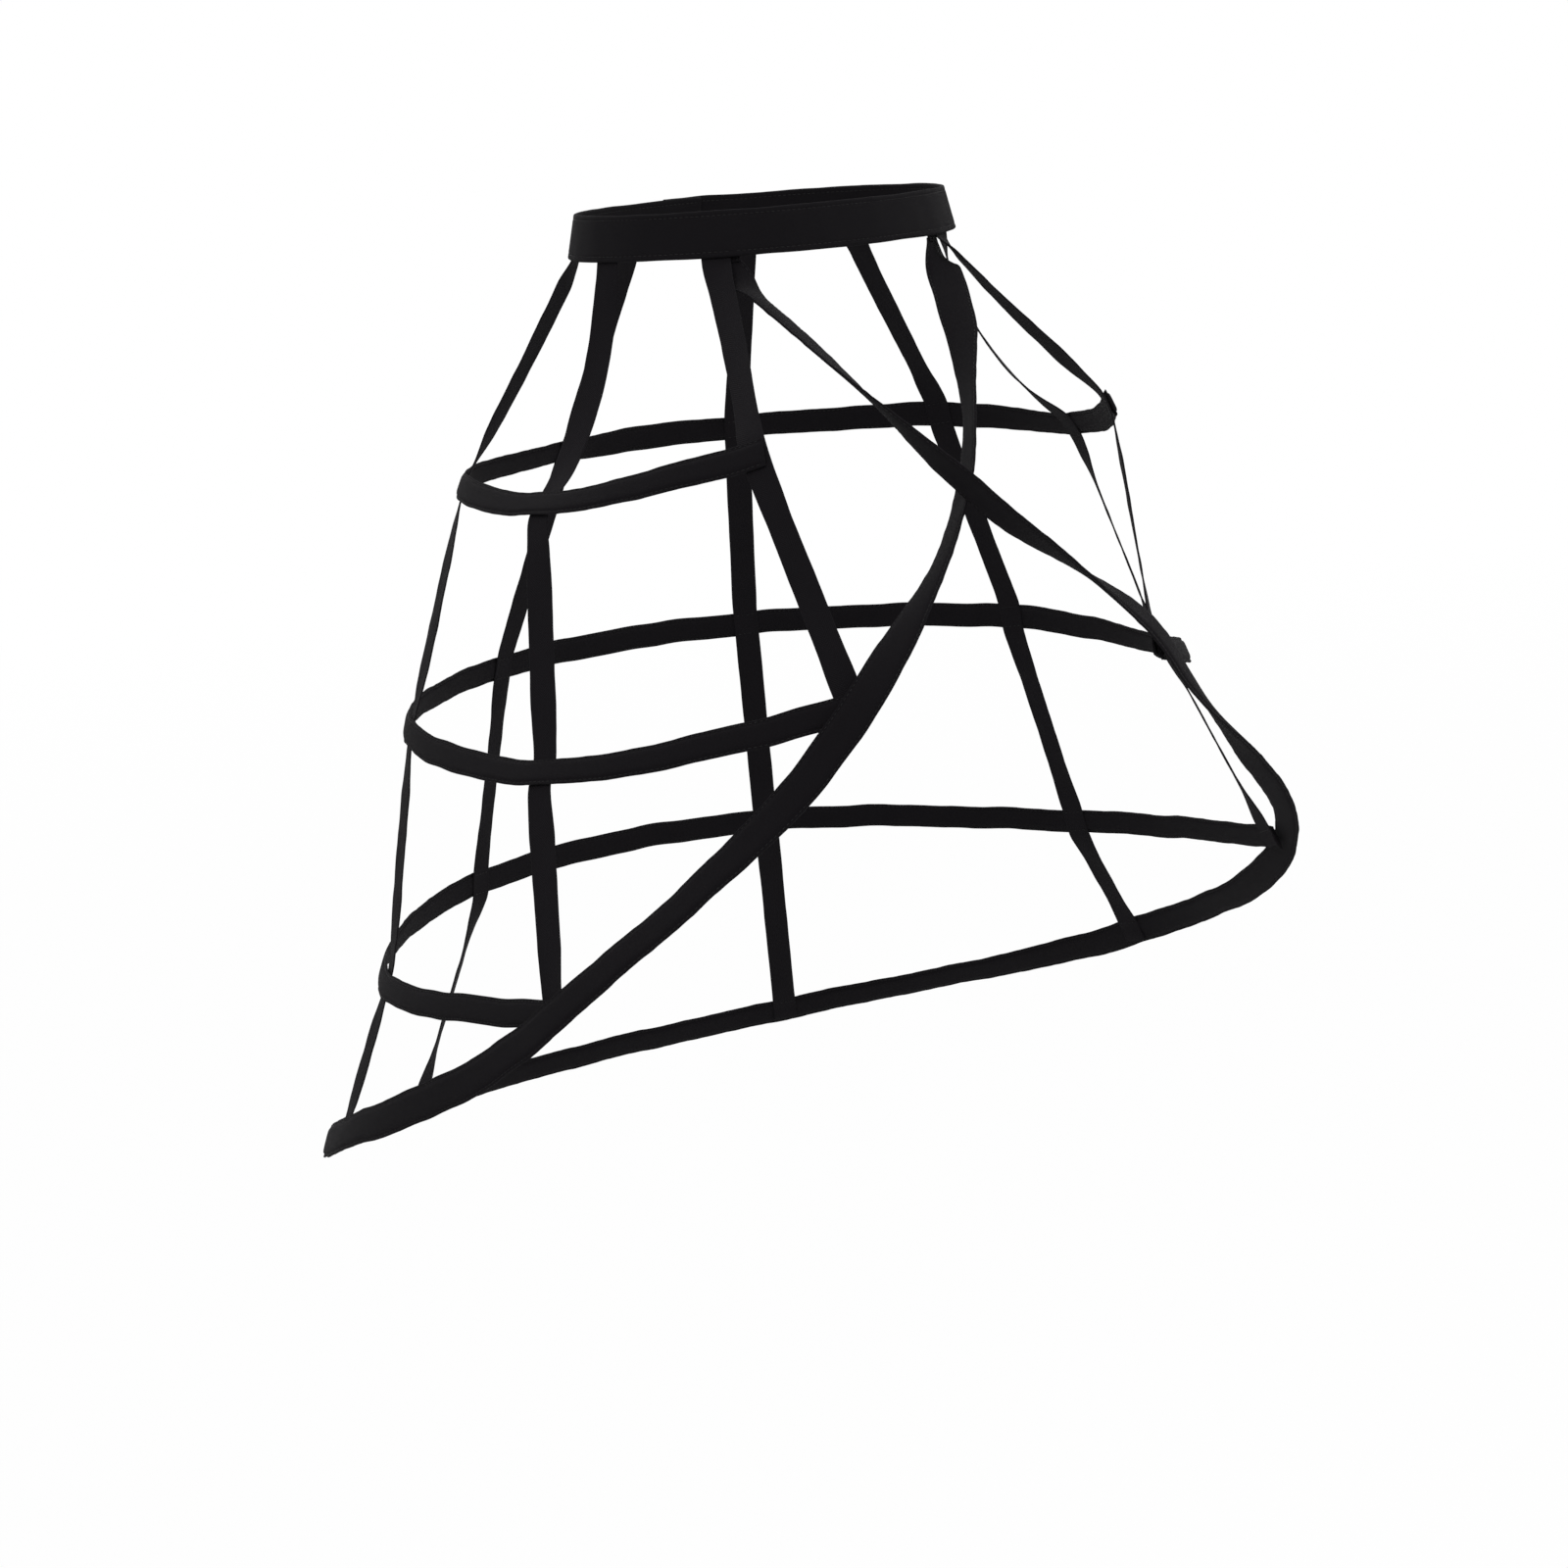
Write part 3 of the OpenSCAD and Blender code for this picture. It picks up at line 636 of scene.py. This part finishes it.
def band_strip():
    """Strip of the waistband, whose left end laps over its right end at the back."""
    lap_turn = math.degrees(LAP_L / WAIST_D)
    path, outs = [], []
    for angle in np.linspace(-180 - lap_turn, 180 + lap_turn, BAND_STEPS):
        p, out = band_face(angle, BAND_H / 2)
        lift = (BAND_T + SEAM_GAP) * ease(((angle - 180) / lap_turn + LAP_BEGIN) / LAP_RISE)
        path.append(p + out * (BAND_T / 2 + lift))
        outs.append(out)
    return Strip(np.array(path), np.array(outs))


def band_rows(strip):
    """Section rows of the waistband: a folded strip, top-stitched along both edges."""
    half = BAND_H / 2
    seam = half - BAND_SEAM
    rim = half - BAND_RIM
    across = np.concatenate([-rim[::-1], BAND_MIDDLE * half, rim])
    reach = np.abs(across)
    near_fold = np.clip((reach - half + BAND_FOLD) / BAND_FOLD, 0, 1)
    height = BAND_T / 2 * np.sqrt(np.clip(1 - near_fold ** BAND_FOLD_POWER, 0, 1))
    groove = np.exp(-((reach - seam) / BAND_GROOVE_W) ** 2)
    height = height - BAND_GROOVE * groove * pucker(strip.run)
    height[:, [0, -1]] = 0
    wave = wander(strip.run, *BAND_BOW)[:, None] * np.cos(across / half)
    wave = wave + wander(strip.run, *BAND_RIPPLE)[:, None] * across / half
    spread = across + wander(strip.run, *BAND_SPREAD)[:, None] * np.sign(across)
    return loop_round(height + wave, wave - height), loop_round(spread, spread), seam


def stitch_row(strip, across, lift, start, end):
    """Stitches in a row along a strip: pairs of end places, and the way out of the cloth."""
    count = max(1, int((end - start) / (STITCH + STITCH_GAP)))
    first = start + (np.arange(count) + STITCH_LEAD) * (end - start) / count
    last = first + STITCH * min(1, (end - start) / count / (STITCH + STITCH_GAP))
    height = np.interp((first + last) / 2, strip.run, lift)
    out = np.column_stack([np.interp(first, strip.run, c) for c in strip.out.T]) * np.sign(lift.mean())
    return strip.spot(first, across, height), strip.spot(last, across, height), out


def stitching(name, rows, material):
    """A piece of many stitches, each a short thread that dips into the cloth at both ends."""
    starts, ends, outs = (np.vstack(part) for part in zip(*rows))
    way = unit(ends - starts)
    side = unit(np.cross(way, outs))
    out = np.cross(side, way)
    ring = [(1, 0), (0, 1), (-1, 0), (0, -1)]
    sides = len(ring)
    places = [starts - out * THREAD_R]
    for share in STITCH_SHOULDERS:
        middle = starts + (ends - starts) * share + out * THREAD_R * THREAD_RISE
        places += [middle + (side * x + out * y) * THREAD_R for x, y in ring]
    places.append(ends - out * THREAD_R)
    places = np.stack(places, axis=1).reshape(-1, 3)
    each = 2 * sides + 2
    near = [1 + n for n in range(sides)]
    far = [1 + sides + n for n in range(sides)]
    turns = [(n, (n + 1) % sides) for n in range(sides)]
    one = [[0, near[n], near[k]] for n, k in turns]
    one += [[near[n], far[n], far[k], near[k]] for n, k in turns]
    one += [[each - 1, far[k], far[n]] for n, k in turns]
    faces = [[each * c + n for n in face] for c in range(len(starts)) for face in one]
    uvs = [(THREAD_TWIST * (n % each), 0) for face in faces for n in face]
    return mesh_piece(name, places.tolist(), faces, uvs, material)


# Materials

# Sockets of a Mix node that blends colours
MIX_LOW = 6
MIX_HIGH = 7
MIX_RESULT = 2

# Cloth: scales of worn patches and fluff, and their shares in its tone, roughness and relief
WORN_SCALE = 45.0
FLUFF_SCALE = 900.0
WORN_TONE = 0.55
FLUFF_TONE = 0.2
WEAVE_TONE = 0.25
WEAVE_SMOOTH = 0.12
WORN_ROUGH = 0.1
FLUFF_RELIEF = 0.5
RIB_RELIEF = 0.5
END_RELIEF = 0.35
TWILL_RELIEF = 0.3
END_PITCH = 0.9
CLOTH_SHINE = 0.06
CLOTH_SHEEN = 0.012
SHEEN_ROUGH = 0.45

# Thread, steel and tips: roughness, and how much their pattern adds to it
THREAD_SHINE = 0.25
THREAD_ROUGH = 0.5
TWIST_ROUGH = 0.1
STEEL_ROUGH = 0.28
PATCH_ROUGH = 0.2
TIP_ROUGH = 0.35
DIP_ROUGH = 0.15


class Thread:
    """A socket of a node tree. Arithmetic on it adds Math nodes."""

    def __init__(self, tree, socket=None):
        self.tree = tree
        self.socket = socket

    def node(self, kind, settings=None, values=None, out=0):
        """A new node of that type: settings are set first, then values or links go to its sockets."""
        made = self.tree.nodes.new(kind)
        for key, value in (settings or {}).items():
            setattr(made, key, value)
        for key, value in (values or {}).items():
            if isinstance(value, Thread):
                self.tree.links.new(value.socket, made.inputs[key])
            else:
                made.inputs[key].default_value = value
        return Thread(self.tree, made.outputs[out] if len(made.outputs) else None)

    def maths(self, operation, *values):
        return self.node("ShaderNodeMath", {"operation": operation}, dict(enumerate(values)))

    def __add__(self, other):
        return self.maths("ADD", self, other)

    def __sub__(self, other):
        return self.maths("SUBTRACT", self, other)

    def __rsub__(self, other):
        return self.maths("SUBTRACT", other, self)

    def __mul__(self, other):
        return self.maths("MULTIPLY", self, other)

    def __gt__(self, other):
        return self.maths("GREATER_THAN", self, other)

    __radd__ = __add__
    __rmul__ = __mul__

    def sine(self):
        return self.maths("SINE", self)

    def size(self):
        return self.maths("ABSOLUTE", self)

    def blend(self, low, high):
        """A colour between two colours, by this value."""
        return self.node("ShaderNodeMix", {"data_type": "RGBA"},
                         {"Factor": self, MIX_LOW: (*low, 1), MIX_HIGH: (*high, 1)}, out=MIX_RESULT)


def material(name):
    """A new material, a thread to wire it with and its shader's node."""
    made = bpy.data.materials.new(name)
    made.use_nodes = True
    return made, Thread(made.node_tree), made.node_tree.nodes["Principled BSDF"]


def plug(wire, shader, socket):
    """Links a thread to one of a shader's sockets."""
    wire.tree.links.new(wire.socket, shader.inputs[socket])


def strip_map(wire):
    """Lengths along and across a strip."""
    spot = wire.node("ShaderNodeUVMap", {"uv_map": "strip"})
    along = wire.node("ShaderNodeSeparateXYZ", None, {0: spot}, out="X")
    across = wire.node("ShaderNodeSeparateXYZ", None, {0: spot}, out="Y")
    return spot, along, across


def cloud(wire, spot, scale, detail=3.0):
    """Soft noise over a surface, from 0 to 1."""
    return wire.node("ShaderNodeTexNoise", None, {"Vector": spot, "Scale": scale, "Detail": detail})


def bumped(wire, shader, height, depth):
    """Fine relief of that depth on a shader's surface."""
    bump = wire.node("ShaderNodeBump", None, {"Strength": 1.0, "Distance": depth, "Height": height})
    plug(bump, shader, "Normal")


def cloth_material(name, dark, light, rough, yarn, depth, twill):
    """Black cloth: yarns of that width in a plain weave, or in a twill that turns at the middle."""
    made, wire, shader = material(name)
    spot, along, across = strip_map(wire)
    turn = math.pi / yarn
    if twill:
        fold = (across - STRAP_W / 2).size()
        ribs = ((along + fold) * turn).sine()
        ends = (across * (turn * END_PITCH)).sine().size()
        weave = ribs * RIB_RELIEF + ends * END_RELIEF + TWILL_RELIEF
    else:
        over = (along * turn).sine() * (across * turn).sine() > 0.0
        warp = (across * turn).sine().size()
        weft = (along * turn).sine().size()
        weave = warp * over + weft * (1.0 - over)
    worn = cloud(wire, spot, WORN_SCALE)
    fluff = cloud(wire, spot, FLUFF_SCALE, detail=2.0)
    tone = worn * WORN_TONE + fluff * FLUFF_TONE + weave * WEAVE_TONE
    plug(tone.blend(dark, light), shader, "Base Color")
    plug(rough - WEAVE_SMOOTH * weave + WORN_ROUGH * worn, shader, "Roughness")
    bumped(wire, shader, weave + fluff * FLUFF_RELIEF, depth)
    shader.inputs["Specular IOR Level"].default_value = CLOTH_SHINE
    shader.inputs["Sheen Weight"].default_value = CLOTH_SHEEN
    shader.inputs["Sheen Roughness"].default_value = SHEEN_ROUGH
    return made


def thread_material():
    """Black sewing thread, with its twist as bands of tone along it."""
    made, wire, shader = material("black_thread")
    _, along, _ = strip_map(wire)
    twist = (along * (math.pi / THREAD_TWIST)).sine()
    tone = twist * 0.5 + 0.5
    plug(tone.blend(low=(0.006, 0.006, 0.0065), high=(0.014, 0.0135, 0.014)), shader, "Base Color")
    plug(THREAD_ROUGH + TWIST_ROUGH * twist, shader, "Roughness")
    shader.inputs["Specular IOR Level"].default_value = THREAD_SHINE
    return made


def steel_material():
    """Sprung steel, with a patchy finish."""
    made, wire, shader = material("spring_steel")
    spot = wire.node("ShaderNodeTexCoord", out="Object")
    patches = cloud(wire, spot, scale=160.0, detail=5.0)
    plug(patches.blend(low=(0.38, 0.39, 0.41), high=(0.62, 0.63, 0.65)), shader, "Base Color")
    plug(STEEL_ROUGH + PATCH_ROUGH * patches, shader, "Roughness")
    shader.inputs["Metallic"].default_value = 1.0
    return made


def tip_material():
    """Dipped plastic over a bone's end."""
    made, wire, shader = material("dipped_tip")
    spot = wire.node("ShaderNodeTexCoord", out="Object")
    dips = cloud(wire, spot, scale=700.0, detail=2.0)
    plug(dips.blend(low=(0.7, 0.69, 0.66), high=(0.82, 0.81, 0.78)), shader, "Base Color")
    plug(TIP_ROUGH + DIP_ROUGH * dips, shader, "Roughness")
    return made


CASING = cloth_material("casing_cloth", dark=(0.0041, 0.0035, 0.0044), light=(0.0082, 0.0072, 0.0087),
                        rough=0.84, yarn=0.42 * MM, depth=0.09 * MM, twill=False)
TAPE = cloth_material("twill_tape", dark=(0.0041, 0.0035, 0.0044), light=(0.0090, 0.0079, 0.0095),
                      rough=0.78, yarn=0.75 * MM, depth=0.12 * MM, twill=True)
BAND = cloth_material("band_cloth", dark=(0.0039, 0.0034, 0.0042), light=(0.0078, 0.0069, 0.0083),
                      rough=0.83, yarn=0.5 * MM, depth=0.1 * MM, twill=False)
THREAD = thread_material()
STEEL = steel_material()
TIP = tip_material()


# Pieces

def settle(piece, slot, *nodes):
    """The piece moves with the cage and stands for the nodes. The slot is not used."""
    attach(piece, "root")
    if nodes:
        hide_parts(*nodes)


def make_bone(name, strip, width):
    """The flat steel in a casing, along the strip that the casing follows."""
    piece = swept(name + "_steel", strip, *bone_rows(strip, width), STEEL)
    settle(piece, "bone", name)


def edge_seams(strip, seam, height, short):
    """Stitch rows along both edges of a strip, on its outer and its inner face. They stop short of
    its ends."""
    lift = np.full_like(strip.run, height)
    start = short
    end = strip.run[-1] - short
    ways = [(side, face) for side in (-1, 1) for face in (-1, 1)]
    return [stitch_row(strip, side * seam, face * lift, start, end) for side, face in ways]


def casing_seams(strip, width):
    """Stitch rows along both margins of a casing."""
    return edge_seams(strip, width / 2 - MARGIN + SEAM_IN, MARGIN_T / 2 - STITCH_SINK, STITCH)


def swayed(strip):
    """The strip with slight waves in its own face, as cloth that is sewn by hand has."""
    strip.place = strip.place + strip.wide * wander(strip.run, *CASING_SWAY)[:, None]
    return strip


def make_hoop(name):
    """A hoop's casing, its stitches and its bone."""
    strip = swayed(hoop_strip(name))
    lifts, acrosses = casing_rows(strip, HOOP_W, HOOP_T, np.ones_like(strip.run))
    lifts = closed_ends(lifts, HOOP_END, strip)
    piece = swept(name + "_hoop_cloth", strip, lifts, acrosses, CASING)
    settle(piece, "cloth", name + "_hoop_casing")
    settle(stitching(name + "_hoop_stitching", casing_seams(strip, HOOP_W), THREAD), "cloth")
    make_bone(name + "_hoop_bone", strip.stretch(HOOP_TAB, strip.run[-1] - HOOP_TAB), HOOP_W)


def make_hem():
    """The hem's casing, its stitches and its bone."""
    strip = swayed(Strip(HEM_PATH, HEM_FACES))
    full = np.interp(strip.run, lengths_along(HEM_PATH), HEM_FULL)
    lifts, acrosses = casing_rows(strip, HEM_W, HEM_T, full)
    lifts = closed_ends(lifts, HEM_END, strip)
    settle(swept("hem_cloth", strip, lifts, acrosses, CASING), "cloth", "hem_casing")
    settle(stitching("hem_stitching", casing_seams(strip, HEM_W), THREAD), "cloth")
    along = lengths_along(HEM_PATH)
    start, end = (along[key * KEY_STEPS + 1] for key in HEM_BONE_KEYS)
    room = TIP_L + BONE_PLAY
    make_bone("hem_bone", strip.stretch(start + room, end - room), HEM_W)


def make_band():
    """The waistband and its top stitches."""
    strip = band_strip()
    lifts, acrosses, seam = band_rows(strip)
    settle(swept("waistband_cloth", strip, lifts, acrosses, BAND), "cloth", "waistband")
    rows = edge_seams(strip, seam, BAND_T / 2 - BAND_STITCH_SINK, BAND_STITCH_END)
    settle(stitching("waistband_stitching", rows, THREAD), "cloth")


def make_strap(s):
    """The left and the right strap s, and the stitch rows across their inner faces."""
    for side in ("left", "right"):
        strip, seams = strap_strip(s, side)
        rows = []
        top_row = strip.spot(np.array([TOP_SEAM]), 0, np.zeros(1))[0]
        half = STRAP_W / 2 - SEAM_SIDE
        for p in [top_row, *seams]:
            i = np.linalg.norm(strip.place - p, axis=1).argmin()
            across = np.array([[-half], [0], [half]]) * strip.wide[i]
            line = Strip(strip.place[i] + across, np.repeat(strip.out[i:i + 1], len(across), axis=0))
            lift = np.full_like(line.run, -TAPE_T / 2 - STITCH_PROUD)
            rows.append(stitch_row(line, 0, lift, 0, line.run[-1]))
        name = f"{side}_{STRAP_NAMES[s]}_strap"
        lifts, acrosses = tape_rows(strip)
        piece = swept(name + "_tape", strip, lifts, acrosses, TAPE)
        sewn = stitching(name + "_stitching", rows, THREAD)
        if side == "right":
            for made in (piece, sewn):
                made.data.transform(Matrix.Diagonal((-1, 1, 1, 1)))
                made.data.flip_normals()
        settle(piece, "tape", name)
        settle(sewn, "tape")


make_band()
for hoop in HOOPS:
    make_hoop(hoop)
make_hem()
for strap in (FRONT, SIDE_FRONT, SIDE, BACK):
    make_strap(strap)
for node_name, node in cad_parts.items():
    if node_name.endswith("_tips"):
        node.data.materials.clear()
        node.data.materials.append(TIP)


# Stage

FLOOR_Z = -1.05
FLOOR_R = 30
FLOOR_SIDES = 96
FLOOR_TONE = 0.86
FLOOR_ROUGH = 0.9

# The floor turns to white for the camera between these two distances, by these two shares
FADE_NEAR = 0.8
FADE_FAR = 5.0
WHITE_NEAR = 0.965
WHITE_FAR = 1.0
WHITE = (1, 1, 1, 1)
ROOM_LIGHT = 0.45

# Softboxes: place, size of each side and power
LAMP_AIM = Vector((0, 0, -0.3))
LAMPS = {
    "key_softbox": ((-1.6, -1.8, 1.5), 1.4, 34),
    "fill_softbox": ((1.9, -1.2, 0.6), 1.6, 16),
    "top_softbox": ((0.2, 0.9, 1.8), 1.6, 18),
}
CAMERA_PLACE = Vector((-0.9948, -1.6035, 0.0872))
CAMERA_YAW = -31.4937
CAMERA_PITCH = 13.2157
CAMERA_ROLL = -4.0372
CAMERA_LENS = 72
CAMERA_SENSOR = 36


def background_rays(wire):
    """1 for rays that should see the white background, and 0 for those that carry light."""
    seen = wire.node("ShaderNodeLightPath", out="Is Camera Ray")
    shine = wire.node("ShaderNodeLightPath", out="Is Glossy Ray")
    through = wire.node("ShaderNodeLightPath", out="Is Transmission Ray")
    return seen.maths("MAXIMUM", seen, shine.maths("MAXIMUM", shine, through))


def make_floor():
    """A wide pale floor that takes the cage's shadow and is white to the camera."""
    bpy.ops.mesh.primitive_circle_add(vertices=FLOOR_SIDES, radius=FLOOR_R, fill_type="NGON",
                                      location=(0, 0, FLOOR_Z))
    floor = bpy.context.object
    floor.name = "floor"
    made, wire, shader = material("pale_floor")
    shader.inputs["Base Color"].default_value = (FLOOR_TONE, FLOOR_TONE, FLOOR_TONE, 1)
    shader.inputs["Roughness"].default_value = FLOOR_ROUGH
    white = wire.node("ShaderNodeEmission", None, {"Color": WHITE, "Strength": 1.0})
    spot = wire.node("ShaderNodeTexCoord", out="Object")
    far = wire.node("ShaderNodeVectorMath", {"operation": "LENGTH"}, {0: spot}, out="Value")
    fade = {"Value": far, "From Min": FADE_NEAR, "From Max": FADE_FAR,
            "To Min": WHITE_NEAR, "To Max": WHITE_FAR}
    share = wire.node("ShaderNodeMapRange", None, fade)
    share = share * wire.node("ShaderNodeLightPath", out="Is Camera Ray")
    lit = Thread(wire.tree, shader.outputs[0])
    mixed = wire.node("ShaderNodeMixShader", None, {0: share, 1: lit, 2: white})
    wire.tree.links.new(mixed.socket, wire.tree.nodes["Material Output"].inputs["Surface"])
    floor.data.materials.append(made)


def make_world():
    """A white room, dimmer as a light than it looks."""
    world = bpy.data.worlds.new("studio")
    world.use_nodes = True
    bpy.context.scene.world = world
    wire = Thread(world.node_tree)
    strength = ROOM_LIGHT + (1 - ROOM_LIGHT) * background_rays(wire)
    shader = world.node_tree.nodes["Background"]
    shader.inputs["Color"].default_value = WHITE
    plug(strength, shader, "Strength")


def make_lamp(name, place, size, power):
    """A square softbox that faces the middle of the cage."""
    lamp = bpy.data.lights.new(name, "AREA")
    lamp.shape = "RECTANGLE"
    lamp.size = size
    lamp.size_y = size
    lamp.energy = power
    holder = bpy.data.objects.new(name, lamp)
    holder.location = place
    holder.rotation_mode = "QUATERNION"
    holder.rotation_quaternion = (LAMP_AIM - Vector(place)).to_track_quat("-Z", "Y")
    bpy.context.scene.collection.objects.link(holder)


def make_camera():
    """The camera, turned by its yaw, pitch and roll."""
    yaw, pitch, roll = (math.radians(a) for a in (CAMERA_YAW, CAMERA_PITCH, CAMERA_ROLL))
    ahead = Vector((-math.sin(yaw) * math.cos(pitch), math.cos(yaw) * math.cos(pitch), -math.sin(pitch)))
    level = Vector((math.cos(yaw), math.sin(yaw), 0))
    rise = level.cross(ahead)
    right = level * math.cos(roll) + rise * math.sin(roll)
    top = rise * math.cos(roll) - level * math.sin(roll)
    camera = bpy.data.cameras.new("camera")
    camera.lens = CAMERA_LENS
    camera.sensor_width = CAMERA_SENSOR
    holder = bpy.data.objects.new("camera", camera)
    holder.matrix_world = Matrix((right, top, -ahead)).transposed().to_4x4()
    holder.location = CAMERA_PLACE
    bpy.context.scene.collection.objects.link(holder)
    bpy.context.scene.camera = holder


make_floor()
make_world()
for lamp_name, lamp_values in LAMPS.items():
    make_lamp(lamp_name, *lamp_values)
make_camera()
bpy.context.scene.view_settings.view_transform = "Standard"
